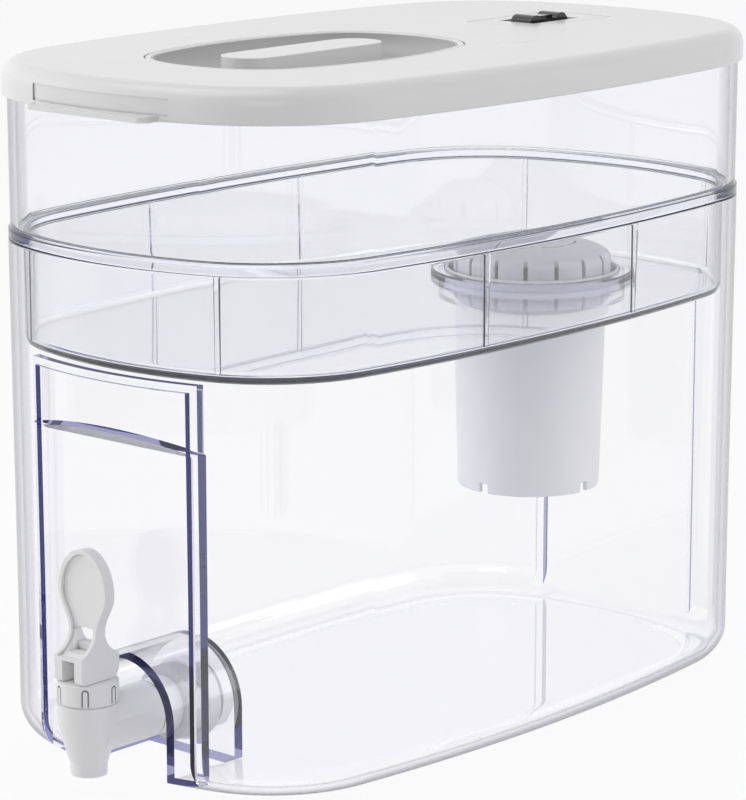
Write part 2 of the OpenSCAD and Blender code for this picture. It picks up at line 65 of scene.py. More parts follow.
class TankLooks(bpy.types.PropertyGroup):
    """Sizes and colours of the two clear tanks."""

    edge: bpy.props.FloatProperty(
        name="Edge rounding", description="Rounding of the moulded edges",
        default=0.0005, min=0.0, max=0.002, unit="LENGTH")
    tint: bpy.props.FloatVectorProperty(
        name="Tint", description="Colour that the clear plastic takes where it is thick",
        default=(0.42, 0.44, 0.98), min=0, max=1, size=3, subtype="COLOR")
    depth: bpy.props.FloatProperty(
        name="Tint strength",
        description="How fast the tint builds up through the plastic, per metre",
        default=5.0, min=0, max=80)
    # painted shade: the edge tint is a dark colour given to light mirrored inside the plastic, and
    # it draws the dark edges
    rim: bpy.props.FloatVectorProperty(
        name="Edge tint", description="Colour that light takes where it leaves through a cut edge",
        default=(0.13, 0.13, 0.21), min=0, max=1, size=3, subtype="COLOR")


class CoverLooks(bpy.types.PropertyGroup):
    """Sizes and colours of the lid and what lies in it."""

    edge: bpy.props.FloatProperty(
        name="Edge rounding", description="Rounding of the lid's small edges",
        default=0.0004, min=0.0, max=0.002, unit="LENGTH")
    white: bpy.props.FloatVectorProperty(
        name="White", description="Colour of the lid, the cover and the indicator plate",
        default=(0.82, 0.82, 0.82), min=0, max=1, size=3, subtype="COLOR")
    bowl: bpy.props.FloatVectorProperty(
        name="Bowl", description="Colour of the bowl under the grip bar",
        default=(0.50, 0.50, 0.50), min=0, max=1, size=3, subtype="COLOR")
    black: bpy.props.FloatVectorProperty(
        name="Rocker", description="Colour of the indicator's rocker",
        default=(0.012, 0.012, 0.013), min=0, max=1, size=3, subtype="COLOR")


class FilterLooks(bpy.types.PropertyGroup):
    """Sizes and colours of the hanging cartridge."""

    edge: bpy.props.FloatProperty(
        name="Edge rounding", description="Rounding of the cartridge's edges",
        default=0.0004, min=0.0, max=0.002, unit="LENGTH")
    grey: bpy.props.FloatVectorProperty(
        name="Grey", description="Colour of the cartridge",
        default=(0.71, 0.71, 0.73), min=0, max=1, size=3, subtype="COLOR")
    cap: bpy.props.FloatVectorProperty(
        name="Cap", description="Colour of the cartridge's slotted cap",
        default=(0.60, 0.60, 0.63), min=0, max=1, size=3, subtype="COLOR")


class TapLooks(bpy.types.PropertyGroup):
    """Sizes and colours of the tap."""

    edge: bpy.props.FloatProperty(
        name="Edge rounding", description="Rounding of the tap's edges",
        default=0.0005, min=0.0, max=0.002, unit="LENGTH")
    grey: bpy.props.FloatVectorProperty(
        name="Grey", description="Colour of the tap",
        default=(0.87, 0.87, 0.875), min=0, max=1, size=3, subtype="COLOR")
    rubber: bpy.props.FloatVectorProperty(
        name="Rubber", description="Colour of the gasket on the shank",
        default=(0.56, 0.56, 0.57), min=0, max=1, size=3, subtype="COLOR")


class StageLooks(bpy.types.PropertyGroup):
    """Light and floor."""

    floor: bpy.props.FloatVectorProperty(
        name="Floor", description="Colour of the floor",
        default=(0.90, 0.90, 0.905), min=0, max=1, size=3, subtype="COLOR")
    sky: bpy.props.FloatProperty(
        name="Sky", description="Strength of the even light from all round",
        default=0.34, min=0, max=2)
    key: bpy.props.FloatProperty(
        name="Key light", description="Power of the large lamp above, in watts",
        default=6.1, min=0, max=200)


# ---------------------------------------------------------------- finishes

PLASTIC_IOR = 1.49
# painted shade: moulded plastic's colour is darkened in its own crevices, where shade falls
CREVICE_PAINTED_SHADE_REACH = 0.0022  # how deep a crevice has to be to get painted shade, in metres
CREVICE_PAINTED_SHADE_RAMP = (0.30, 0.62)  # openness at which the painted crevice shade is darkest, and at which it is gone
CREVICE_PAINTED_SHADE = 0.30  # share of the colour that is left where the painted crevice shade is darkest
# painted shade on clear plastic turned away from the eye: how far it is turned, then the dark
# colour painted there as its outline
PAINTED_OUTLINE_START = (0.64, (1.0, 1.0, 1.0))
PAINTED_OUTLINE_MIDDLE = (0.85, (0.30, 0.30, 0.35))
PAINTED_OUTLINE_END = (1.0, (0.02, 0.02, 0.04))
LEVEL_POWER = 200.0  # leaves only faces that lie level
LEVEL_RELIEF = 0.55  # how much less painted outline shade a level face gets
UNDERSIDE_PAINTED_SHADE = 0.22  # how much more painted shade a face that looks down gets
SEE_THROUGH = (0.97, 0.97, 0.99)
MOST_FACES = 8.5  # light that has passed more faces than this goes straight on
MOST_MIRRORS = 1.5  # light that has been mirrored more often leaves through the edge, darkened by the painted edge shade


def finish_of(name):
    """An empty node material, its tree and its output."""
    m = bpy.data.materials.new(name)
    m.use_nodes = True
    tree = m.node_tree
    tree.nodes.clear()
    out = tree.nodes.new("ShaderNodeOutputMaterial")
    return m, tree, out


def grain(tree, scale, detail):
    """Fine noise on the piece's own coordinates."""
    co = tree.nodes.new("ShaderNodeTexCoord")
    noise = tree.nodes.new("ShaderNodeTexNoise")
    noise.inputs["Scale"].default_value = scale
    noise.inputs["Detail"].default_value = detail
    tree.links.new(co.outputs["Object"], noise.inputs["Vector"])
    return noise


def spread(tree, source, low, high):
    """The source's 0 to 1 laid over low to high."""
    ramp = tree.nodes.new("ShaderNodeMapRange")
    ramp.inputs["To Min"].default_value = low
    ramp.inputs["To Max"].default_value = high
    tree.links.new(source, ramp.inputs["Value"])
    return ramp.outputs["Result"]


def moulded(name, colour, rough, fine, lift, coat=0.0, sheen_spread=0.05):
    """Moulded opaque plastic with a faint grain, slightly uneven gloss and painted shade in its
    crevices.
    """
    m, tree, out = finish_of(name)
    p = tree.nodes.new("ShaderNodeBsdfPrincipled")
    # painted shade: the piece's own occlusion darkens its base colour in crevices
    crevice = tree.nodes.new("ShaderNodeAmbientOcclusion")
    crevice.inputs["Distance"].default_value = CREVICE_PAINTED_SHADE_REACH
    crevice.samples = 6
    crevice.only_local = True
    painted_crevice_shade = tree.nodes.new("ShaderNodeValToRGB")
    painted_crevice_shade.color_ramp.elements[0].position = CREVICE_PAINTED_SHADE_RAMP[0]
    painted_crevice_shade.color_ramp.elements[0].color = (*(CREVICE_PAINTED_SHADE * c for c in colour), 1)
    painted_crevice_shade.color_ramp.elements[1].position = CREVICE_PAINTED_SHADE_RAMP[1]
    painted_crevice_shade.color_ramp.elements[1].color = (*colour, 1)
    tree.links.new(crevice.outputs["AO"], painted_crevice_shade.inputs["Fac"])
    tree.links.new(painted_crevice_shade.outputs["Color"], p.inputs["Base Color"])
    p.inputs["IOR"].default_value = PLASTIC_IOR
    p.inputs["Coat Weight"].default_value = coat
    p.inputs["Coat Roughness"].default_value = 0.06
    slow = grain(tree, 38.0, 2.0)
    tree.links.new(
        spread(tree, slow.outputs["Fac"], rough - sheen_spread, rough + sheen_spread),
        p.inputs["Roughness"])
    fast = grain(tree, fine, 3.0)
    bump = tree.nodes.new("ShaderNodeBump")
    bump.inputs["Strength"].default_value = lift
    bump.inputs["Distance"].default_value = 0.0004
    tree.links.new(fast.outputs["Fac"], bump.inputs["Height"])
    tree.links.new(bump.outputs["Normal"], p.inputs["Normal"])
    tree.links.new(p.outputs["BSDF"], out.inputs["Surface"])
    return m


def maths(tree, operation, first, second=0.0):
    """One step of arithmetic on a socket and a socket or number."""
    step = tree.nodes.new("ShaderNodeMath")
    step.operation = operation
    tree.links.new(first, step.inputs[0])
    if isinstance(second, float):
        step.inputs[1].default_value = second
    else:
        tree.links.new(second, step.inputs[1])
    return step.outputs["Value"]


def clear_plastic(name, tint, depth, edge):
    """Clear plastic: painted shade darkens it to its outlines and where it looks down, its tint
    builds up with the thickness, lamps shine through, and light that is caught between the faces
    gets out in the end, darkened by a painted edge shade."""
    m, tree, out = finish_of(name)
    p = tree.nodes.new("ShaderNodeBsdfPrincipled")
    # painted shade: the base colour darkens where the face turns away from the eye, and more on
    # faces that look down
    turned_away = tree.nodes.new("ShaderNodeLayerWeight")
    outline = tree.nodes.new("ShaderNodeValToRGB")
    stops = outline.color_ramp.elements
    stops[0].position, stops[0].color = PAINTED_OUTLINE_START[0], (*PAINTED_OUTLINE_START[1], 1)
    stops[1].position, stops[1].color = PAINTED_OUTLINE_END[0], (*PAINTED_OUTLINE_END[1], 1)
    stops.new(PAINTED_OUTLINE_MIDDLE[0]).color = (*PAINTED_OUTLINE_MIDDLE[1], 1)
    face = tree.nodes.new("ShaderNodeNewGeometry")
    parts = tree.nodes.new("ShaderNodeSeparateXYZ")
    tree.links.new(face.outputs["True Normal"], parts.inputs["Vector"])
    upward = parts.outputs["Z"]
    level = maths(tree, "POWER", maths(tree, "ABSOLUTE", upward), LEVEL_POWER)
    under = maths(tree, "MAXIMUM", maths(tree, "MULTIPLY", upward, -UNDERSIDE_PAINTED_SHADE))
    relief = maths(tree, "MULTIPLY", level, LEVEL_RELIEF)
    away = maths(tree, "SUBTRACT", turned_away.outputs["Facing"], relief)
    tree.links.new(maths(tree, "ADD", away, under), outline.inputs["Fac"])
    tree.links.new(outline.outputs["Color"], p.inputs["Base Color"])
    p.inputs["Transmission Weight"].default_value = 1.0
    p.inputs["Roughness"].default_value = 0.0
    p.inputs["IOR"].default_value = PLASTIC_IOR
    wave = grain(tree, 26.0, 1.0)
    bump = tree.nodes.new("ShaderNodeBump")
    bump.inputs["Strength"].default_value = 0.010
    bump.inputs["Distance"].default_value = 0.001
    tree.links.new(wave.outputs["Fac"], bump.inputs["Height"])
    tree.links.new(bump.outputs["Normal"], p.inputs["Normal"])
    path = tree.nodes.new("ShaderNodeLightPath")
    see = tree.nodes.new("ShaderNodeBsdfTransparent")
    see.inputs["Color"].default_value = (*SEE_THROUGH, 1)
    # painted shade: light caught between the faces leaves darkened by the edge tint, which draws
    # dark edges
    painted_edge_shade = tree.nodes.new("ShaderNodeBsdfTransparent")
    painted_edge_shade.inputs["Color"].default_value = (*edge, 1)
    surface = p.outputs["BSDF"]
    for factor, way_out in (
            (maths(tree, "GREATER_THAN", path.outputs["Transmission Depth"], MOST_FACES), see),
            (maths(tree, "GREATER_THAN", path.outputs["Glossy Depth"], MOST_MIRRORS), painted_edge_shade),
            (path.outputs["Is Shadow Ray"], see)):
        mix = tree.nodes.new("ShaderNodeMixShader")
        tree.links.new(factor, mix.inputs["Fac"])
        tree.links.new(surface, mix.inputs[1])
        tree.links.new(way_out.outputs["BSDF"], mix.inputs[2])
        surface = mix.outputs["Shader"]
    tree.links.new(surface, out.inputs["Surface"])
    deep = tree.nodes.new("ShaderNodeVolumeAbsorption")
    deep.inputs["Color"].default_value = (*tint, 1)
    deep.inputs["Density"].default_value = depth
    tree.links.new(deep.outputs["Volume"], out.inputs["Volume"])
    return m


def steel(name, rough):
    """Drawn steel wire or woven mesh."""
    m, tree, out = finish_of(name)
    p = tree.nodes.new("ShaderNodeBsdfPrincipled")
    p.inputs["Base Color"].default_value = (0.62, 0.63, 0.64, 1)
    p.inputs["Metallic"].default_value = 1.0
    slow = grain(tree, 300.0, 3.0)
    tree.links.new(
        spread(tree, slow.outputs["Fac"], rough - 0.08, rough + 0.08), p.inputs["Roughness"])
    tree.links.new(p.outputs["BSDF"], out.inputs["Surface"])
    return m


def granules(name):
    """A bed of dark grains."""
    m, tree, out = finish_of(name)
    p = tree.nodes.new("ShaderNodeBsdfPrincipled")
    p.inputs["Base Color"].default_value = (0.015, 0.015, 0.016, 1)
    p.inputs["Roughness"].default_value = 0.7
    co = tree.nodes.new("ShaderNodeTexCoord")
    cells = tree.nodes.new("ShaderNodeTexVoronoi")
    cells.inputs["Scale"].default_value = 900.0
    tree.links.new(co.outputs["Object"], cells.inputs["Vector"])
    bump = tree.nodes.new("ShaderNodeBump")
    bump.inputs["Strength"].default_value = 0.8
    bump.inputs["Distance"].default_value = 0.0006
    tree.links.new(cells.outputs["Distance"], bump.inputs["Height"])
    tree.links.new(bump.outputs["Normal"], p.inputs["Normal"])
    tree.links.new(p.outputs["BSDF"], out.inputs["Surface"])
    return m


def seen_directly(tree):
    """1 for rays from the camera, in reflections and through clear plastic, and 0 for the rest."""
    path = tree.nodes.new("ShaderNodeLightPath")
    total = path.outputs["Is Camera Ray"]
    for name in ("Is Glossy Ray", "Is Transmission Ray"):
        total = maths(tree, "MAXIMUM", total, path.outputs[name])
    return total


# ---------------------------------------------------------------- pieces from the solids

SOLID_MERGE = 2e-6  # corners nearer than this are one, in metres
CREASE, CLEAR_CREASE = 30.0, 24.0  # edges sharper than this are creases, in degrees


def sharp_edges(bm, degrees):
    """Edges where two faces meet at more than this angle."""
    limit = math.radians(degrees)
    return [e for e in bm.edges if len(e.link_faces) == 2 and e.calc_face_angle(0) > limit]


def creased(bm, degrees):
    """Smooths a mesh's faces and marks its sharp edges."""
    for f in bm.faces:
        f.smooth = True
    for e in sharp_edges(bm, degrees):
        e.smooth = False


def rounded(piece, width, degrees, harden):
    """Rounds a piece's edges that are sharper than an angle."""
    if width <= 0:
        return
    soft = piece.modifiers.new("Rounded edges", "BEVEL")
    soft.width = width
    soft.segments = 2
    soft.limit_method = "ANGLE"
    soft.angle_limit = math.radians(degrees)
    soft.use_clamp_overlap = True
    soft.harden_normals = harden


def assigned(piece, node):
    """Lets a piece ride on its body, in its solid's place."""
    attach(piece, BODY_OF[node])
    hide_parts(node)
    return piece


def dressed(node, name, material, crease=28.0, edge=0.0):
    """A finished copy of a solid: merged, its sharp edges rounded and the rest smooth."""
    mesh = frame["nodes"][node].data.copy()
    bm = bmesh.new()
    bm.from_mesh(mesh)
    bmesh.ops.remove_doubles(bm, verts=bm.verts, dist=SOLID_MERGE)
    bmesh.ops.dissolve_degenerate(bm, edges=bm.edges, dist=SOLID_MERGE)
    for e in bm.edges:
        e.smooth = True
    creased(bm, crease)
    bm.to_mesh(mesh)
    bm.free()
    mesh.materials.clear()
    mesh.materials.append(material)
    piece = bpy.data.objects.new(name, mesh)
    bpy.context.scene.collection.objects.link(piece)
    rounded(piece, edge, crease, True)
    return assigned(piece, node)


# ---------------------------------------------------------------- swept ovals

MM = 0.001
# half width, half length, then the radii of the sides, the ends and the corners
TANK_OVAL = (96.5, 164.0, 800.0, 160.0, 62.0)
COVER_OVAL = (45.5, 68.5, 150.0, 60.0, 30.0)
OVAL_STEPS = (18, 24, 30)  # facets of a side, an end and a corner
TURN_STEPS = 128
ROUND_SIDES = 720  # facets of a full round as large as the tank's end
SWEPT_MERGE, TURNED_MERGE, CUT_MERGE = 0.002, 0.0005, 0.004

# places along and up the tank, in millimetres
COVER_Y = -47.0
INDICATOR_Y = 97.3
FILTER_Y = 91.5
TAP_Y = -171.0
END_Y = TANK_OVAL[3] - TANK_OVAL[1]  # middle of the tap end's arc
SHANK_Z = 25
LEVER_Z = 44.2  # underside of the lever's foot
STEM_R = 3.05
WALL = 3.0  # the clear tanks' wall
BASE_Z = 1.5  # underside of the lower tank's floor, over its foot ring
SKIRT_Z = 256.5  # the lid's lower edge
TAB_Z = 258.7  # top of the lid's tab
LID_Z = 270  # the lid's top
RIM_Z = 201.3  # the lower tank's rim
PLATE_Z = 267.9  # underside of the indicator's plate
AXLE_Z = 268.4  # the rocker's axle

JOINTS = frame["record"]["behaviour"]["joints"]
# the solids stand this much nearer to +Y than the places above, which the lever's pin shows
AHEAD = JOINTS[1]["pos_m"][1] / MM - TAP_Y


def arcs(oval):
    """The eight arcs of an oval, from the right side onwards: centre, radius, first angle, sweep
    and kind (0 for a side, 1 for an end, 2 for a corner)."""
    half_w, half_l, side, end, corner = oval
    cx, cy = half_w - side, half_l - end
    a, b = side - corner, end - corner
    gap = math.hypot(cx, cy)
    along = (a * a - b * b + gap * gap) / (2 * gap)
    off = math.sqrt(a * a - along * along)
    ux, uy = -cx / gap, cy / gap
    x, y = cx + ux * along + uy * off, uy * along - ux * off
    if x < 0 or y < 0:
        x, y = cx + ux * along - uy * off, uy * along + ux * off
    lean = math.atan2(y, x - cx)
    tilt = math.atan2(x, y - cy)
    quarter = math.pi / 2
    turn = quarter - lean - tilt
    return [
        ((cx, 0), side, -lean, 2 * lean, 0),
        ((x, y), corner, lean, turn, 2),
        ((0, cy), end, quarter - tilt, 2 * tilt, 1),
        ((-x, y), corner, quarter + tilt, turn, 2),
        ((-cx, 0), side, math.pi - lean, 2 * lean, 0),
        ((-x, -y), corner, math.pi + lean, turn, 2),
        ((0, -cy), end, 3 * quarter - tilt, 2 * tilt, 1),
        ((x, -y), corner, 3 * quarter + tilt, turn, 2),
    ]


def swept(profile, oval, closed=False):
    """Carries a profile of (stand-off, height) pairs round an oval. An open profile is capped
    where it starts and ends."""
    bm = bmesh.new()
    parts = arcs(oval)
    (cx, cy), r, first = parts[0][:3]
    ring = [
        bm.verts.new((cx + (r + o) * math.cos(first), cy + (r + o) * math.sin(first), z))
        for o, z in profile
    ]
    pairs = list(zip(ring, ring[1:])) + ([(ring[-1], ring[0])] if closed else [])
    geom = ring + [bm.edges.new(p) for p in pairs]
    for (cx, cy), r, first, sweep, kind in parts:
        done = bmesh.ops.spin(
            bm, geom=geom, cent=(cx, cy, 0), axis=(0, 0, 1), dvec=(0, 0, 0),
            angle=sweep, steps=OVAL_STEPS[kind], use_merge=False, use_duplicate=False)
        geom = done["geom_last"]
    bmesh.ops.remove_doubles(bm, verts=bm.verts, dist=SWEPT_MERGE)
    if not closed:
        rims = [e for e in bm.edges if e.is_boundary]
        bmesh.ops.edgeloop_fill(bm, edges=rims)
    bmesh.ops.recalc_face_normals(bm, faces=bm.faces)
    return bm


def round_corner(o, z, r, start, stop, steps):
    """Points of a quarter round about (o, z), from one angle to the other, in degrees."""
    return [
        (o + r * math.cos(math.radians(start + (stop - start) * i / steps)),
         z + r * math.sin(math.radians(start + (stop - start) * i / steps)))
        for i in range(steps + 1)
    ]


def block(x0, x1, y0, y1, z0, z1):
    """A box between two planes along each axis."""
    bm = bmesh.new()
    bmesh.ops.create_cube(bm, size=1)
    bmesh.ops.scale(bm, vec=(x1 - x0, y1 - y0, z1 - z0), verts=bm.verts)
    bmesh.ops.translate(bm, vec=((x0 + x1) / 2, (y0 + y1) / 2, (z0 + z1) / 2), verts=bm.verts)
    return bm


def spun(bm, angle, about):
    """Turns a mesh round an axis through the origin."""
    bmesh.ops.rotate(
        bm, cent=(0, 0, 0), matrix=Matrix.Rotation(angle, 3, about), verts=bm.verts)
    return bm


def rod(radius, length, middle, axis="Z", sides=96):
    """A round rod along an axis."""
    bm = bmesh.new()
    bmesh.ops.create_cone(
        bm, cap_ends=True, segments=sides, radius1=radius, radius2=radius, depth=length)
    if axis == "Y":
        spun(bm, math.pi / 2, "X")
    if axis == "X":
        spun(bm, math.pi / 2, "Y")
    bmesh.ops.translate(bm, vec=middle, verts=bm.verts)
    return bm


def turned(points, middle):
    """A solid of revolution about a vertical axis. Its points run from the axis to the axis, or
    close on themselves."""
    bm = bmesh.new()
    ring = [bm.verts.new((r, 0, z)) for r, z in points]
    open_ends = points[0][0] < 1e-6
    pairs = list(zip(ring, ring[1:])) + ([] if open_ends else [(ring[-1], ring[0])])
    geom = ring + [bm.edges.new(p) for p in pairs]
    bmesh.ops.spin(
        bm, geom=geom, cent=(0, 0, 0), axis=(0, 0, 1), dvec=(0, 0, 0),
        angle=2 * math.pi, steps=TURN_STEPS, use_merge=True, use_duplicate=False)
    bmesh.ops.remove_doubles(bm, verts=bm.verts, dist=TURNED_MERGE)
    bmesh.ops.recalc_face_normals(bm, faces=bm.faces)
    bmesh.ops.translate(bm, vec=middle, verts=bm.verts)
    return bm


def drawn_out(corners, way):
    """A prism: the face with these corners, drawn out along a vector."""
    bm = bmesh.new()
    face = bm.faces.new([bm.verts.new(c) for c in corners])
    grown = bmesh.ops.extrude_face_region(bm, geom=[face])
    tips = [v for v in grown["geom"] if isinstance(v, bmesh.types.BMVert)]
    bmesh.ops.translate(bm, vec=way, verts=tips)
    bmesh.ops.recalc_face_normals(bm, faces=bm.faces)
    return bm


def extruded_x(points, x0, x1):
    """A prism along X with its outline given as (y, z) pairs."""
    return drawn_out([(x0, y, z) for y, z in points], (x1 - x0, 0, 0))


def extruded_y(points, y0, y1):
    """A prism along Y with its outline given as (x, z) pairs."""
    return drawn_out([(x, y0, z) for x, z in points], (0, y1 - y0, 0))


def bar(width, length, y, z0, z1):
    """An upright bar with round ends that lies along Y."""
    r, reach, sides = width / 2, (length - width) / 2, 24
    rim = []
    for end, first in ((1, 0), (-1, math.pi)):
        for i in range(sides + 1):
            a = first + math.pi * i / sides
            rim.append((r * math.cos(a), y + end * reach + r * math.sin(a), z0))
    return drawn_out(rim, (0, 0, z1 - z0))


def moved(bm, y=0.0, z=0.0):
    """Moves a mesh along the tank and upwards."""
    bmesh.ops.translate(bm, vec=(0, y, z), verts=bm.verts)
    return bm


def round_about(bm_of_one, count, first, middle):
    """Copies one cutter round a vertical axis."""
    whole = bmesh.new()
    for i in range(count):
        one = spun(bm_of_one(), first + 2 * math.pi * i / count, "Z")
        bmesh.ops.translate(one, vec=middle, verts=one.verts)
        scrap = bpy.data.meshes.new("Scrap")
        one.to_mesh(scrap)
        one.free()
        whole.from_mesh(scrap)
        bpy.data.meshes.remove(scrap)
    return whole


def arc_cutter(inner, outer, z0, z1, sweep):
    """A curved slot's cutter about the vertical axis."""
    bm = bmesh.new()
    face = bm.faces.new([bm.verts.new(c) for c in (
        (inner, 0, z0), (outer, 0, z0), (outer, 0, z1), (inner, 0, z1))])
    bmesh.ops.spin(
        bm, geom=[face, *face.edges, *face.verts], cent=(0, 0, 0), axis=(0, 0, 1),
        dvec=(0, 0, 0), angle=sweep, steps=10, use_merge=False, use_duplicate=False)
    bmesh.ops.remove_doubles(bm, verts=bm.verts, dist=TURNED_MERGE)
    bmesh.ops.holes_fill(bm, edges=[e for e in bm.edges if e.is_boundary], sides=4)
    bmesh.ops.recalc_face_normals(bm, faces=bm.faces)
    return bm


def as_object(bm, name):
    """Puts a mesh in the scene and frees it."""
    mesh = bpy.data.meshes.new(name)
    bm.to_mesh(mesh)
    bm.free()
    piece = bpy.data.objects.new(name, mesh)
    bpy.context.scene.collection.objects.link(piece)
    return piece


def combined(piece, tool, how="DIFFERENCE"):
    """Cuts the tool from the piece, or joins it on, and clears the tool away."""
    step = piece.modifiers.new("Cut", "BOOLEAN")
    step.operation = how
    step.solver = "EXACT"
    step.object = tool
    graph = bpy.context.evaluated_depsgraph_get()
    graph.update()
    mesh = bpy.data.meshes.new_from_object(piece.evaluated_get(graph))
    piece.modifiers.clear()
    old, piece.data = piece.data, mesh
    bpy.data.meshes.remove(old)
    bpy.data.objects.remove(tool)
    return piece


def shelled(piece, node, material, crease, edge, flat=False):
    """Brings a piece made in millimetres to its place, sharpens its creases and lets it ride. A
    flat piece keeps its large faces' own normals up to their roundings."""
    bm = bmesh.new()
    bm.from_mesh(piece.data)
    bmesh.ops.remove_doubles(bm, verts=bm.verts, dist=CUT_MERGE)
    bmesh.ops.dissolve_degenerate(bm, edges=bm.edges, dist=CUT_MERGE)
    bmesh.ops.translate(bm, vec=(0, AHEAD, 0), verts=bm.verts)
    bmesh.ops.scale(bm, vec=(MM, MM, MM), verts=bm.verts)
    creased(bm, crease)
    bm.to_mesh(piece.data)
    bm.free()
    piece.data.materials.clear()
    piece.data.materials.append(material)
    rounded(piece, edge, crease + 6, not flat)
    if flat:
        even = piece.modifiers.new("Flat faces", "WEIGHTED_NORMAL")
        even.weight = 90
        even.keep_sharp = True
    return assigned(piece, node)


def recess_tools(grown):
    """What the lower tank's recesses take away, grown by the wall where they cut its inside."""
    half, top = 39.5 + grown, 157 + 0.93 * grown
    deep = -152.0 + grown
    hood = 137 + 1.25 * grown
    before, below = -184, -1  # planes outside the tank, from which the cuts start
    front = as_object(block(-half, half, before, -124, below, top), "Front")
    combined(front, as_object(
        rod(155.2 - grown, 300, (0, END_Y, 140), "Z", ROUND_SIDES), "Panel"))
    panel = as_object(extruded_x([
        (before, below), (deep, below), (deep, hood - 0.75 * (deep + 159.2)),
        (-163.2, hood + 3), (before, hood + 3)], -half, half), "Hood")
    depth, r = (-113.0, 25.0) if grown else (-116.0, 22.5)
    length = depth - before
    arch = as_object(rod(r, length, (0, depth - length / 2, SHANK_Z), "Y", 128), "Arch")
    legs = as_object(block(-r, r, before, depth, below, SHANK_Z), "Legs")
    combined(arch, legs, "UNION")
    rear = as_object(block(
        -half, half, 153.9 - grown, 200, below, 157 + (2.8 if grown else 0)), "Rear")
    return front, panel, arch, rear


(CORNER_X, CORNER_Y), CORNER_R = arcs(TANK_OVAL)[1][:2]
SIDE_X, SIDE_R = TANK_OVAL[0] - TANK_OVAL[2], TANK_OVAL[2]
HANG = 7.2  # how far inside the oval the reservoir's hanging wall stands
# centre and radius of the arc that each centring rib stands on, and its angle
RIBS = [
    (side * SIDE_X, 0, SIDE_R - HANG, angle)
    for side, angle in ((1, -3.3), (1, 3.3), (-1, 176.7), (-1, 183.3))
] + [
    (side * CORNER_X, up * CORNER_Y, CORNER_R - HANG, angle)
    for side, up, angle in ((1, 1, 67.8), (-1, 1, 112.2), (-1, -1, 247.8), (1, -1, 292.2))
]


def rib(x, y, r, degrees):
    """A centring rib on the hanging wall: 2 mm thick, and thicker outwards towards its top."""
    bm = extruded_y([(-0.5, 164.2), (0.9, 164.2), (1.9, 201.0), (-0.5, 201.0)], -1, 1)
    bmesh.ops.translate(bm, vec=(r, 0, 0), verts=bm.verts)
    spun(bm, math.radians(degrees), "Z")
    bmesh.ops.translate(bm, vec=(x, y, 0), verts=bm.verts)
    return bm


def lid_shell():
    """The lid: a rounded shell with a deep skirt, an opening for the fill cover and a tab at the
    tap's end."""
    lid = as_object(swept(
        [(-40, 267.3), (-7, 267.3), (-7, 264.52), (-1.7, 264.52), (-1.7, 256.8), (-1.4, SKIRT_Z),
         (-0.5, SKIRT_Z), (0, 257.0), (0, 263)]
        + round_corner(-7, 263, 7, 0, 90, 12)[1:] + [(-8.5, LID_Z), (-40, LID_Z)],
        TANK_OVAL), "Lid")
    lip = [(-6.9, 260), (-5.3, 260), (-5.3, 264.8), (-6.9, 264.8)]
    combined(lid, as_object(swept(lip, TANK_OVAL, closed=True), "Lip"), "UNION")
    seat = [(-25, 262), (2.4, 262), (2.4, 267.6), (-25, 267.6)]
    combined(lid, as_object(moved(swept(seat, COVER_OVAL), y=COVER_Y), "Seat"), "UNION")
    tab_half, corner_y, corner_r = 27, -165, 4
    tab = as_object(block(-31, 31, corner_y, -157, SKIRT_Z, TAB_Z), "Tab")
    combined(tab, as_object(block(
        -tab_half, tab_half, corner_y - corner_r, -161, SKIRT_Z, TAB_Z), "Lip"), "UNION")
    for x in (-tab_half, tab_half):
        combined(tab, as_object(rod(
            corner_r, 2.2, (x, corner_y, 257.6), "Z", 64), "Lip"), "UNION")
    combined(tab, as_object(rod(159, 8, (0, END_Y, 257.6), "Z", ROUND_SIDES), "Inside"))
    combined(lid, tab, "UNION")
    flat = as_object(block(-35, 35, -166, -150, TAB_Z, 265.0), "Flat")
    combined(flat, as_object(rod(159.3, 20, (0, END_Y, 262), "Z", ROUND_SIDES), "Inside"))
    combined(lid, flat)
    for profile in ([(-25, 264), (0.5, 264), (0.5, 272), (-25, 272)],
                    [(-25, 258), (-2.6, 258), (-2.6, 265), (-25, 265)]):
        combined(lid, as_object(moved(swept(profile, COVER_OVAL), y=COVER_Y), "Opening"))
    for x, y, low in ((16.3, 27.8, PLATE_Z), (10.8, 16.8, 260)):
        combined(lid, as_object(
            block(-x, x, INDICATOR_Y - y, INDICATOR_Y + y, low, 280), "Window"))
    return lid


GRIP = (22, 82)  # width and length of the grip bar
GRIP_Y = COVER_Y - 2.5
GRIP_PLAY = 0.2


def cover_shell():
    """The fill cover: a narrow rim round a dish, with the grip bar standing in it."""
    cover = as_object(moved(swept(
        [(-25, 258.5), (-2.9, 258.5), (-2.9, 265.2), (0, 265.2), (0, 269.5), (-0.5, LID_Z),
         (-1.9, LID_Z), (-2.4, 269.5), (-2.4, 267), (-4.5, 264), (-4.5, 260.3), (-25, 260.3)],
        COVER_OVAL), y=COVER_Y), "Fill_cover")
    combined(cover, as_object(bar(*GRIP, GRIP_Y, 259.5, 270.8), "Grip"), "UNION")
    return cover


def bowl_shell():
    """The bowl in the cover: its wall curves down to a flat floor, clear of the grip bar."""
    slope = [
        (-12 + 8.7 * math.cos(math.radians(a)), 269.6 - 8.0 * math.sin(math.radians(a)))
        for a in range(0, 91, 9)
    ]
    bowl = as_object(moved(swept(
        [(-25, 260.4), (-4.6, 260.4), (-4.6, 264), (-2.5, 267), (-2.5, 269.6)]
        + slope + [(-25, 261.6)], COVER_OVAL), y=COVER_Y), "Fill_cover_bowl")
    combined(bowl, as_object(bar(*(s + GRIP_PLAY for s in GRIP), GRIP_Y, 250, 280), "Grip"))
    return bowl


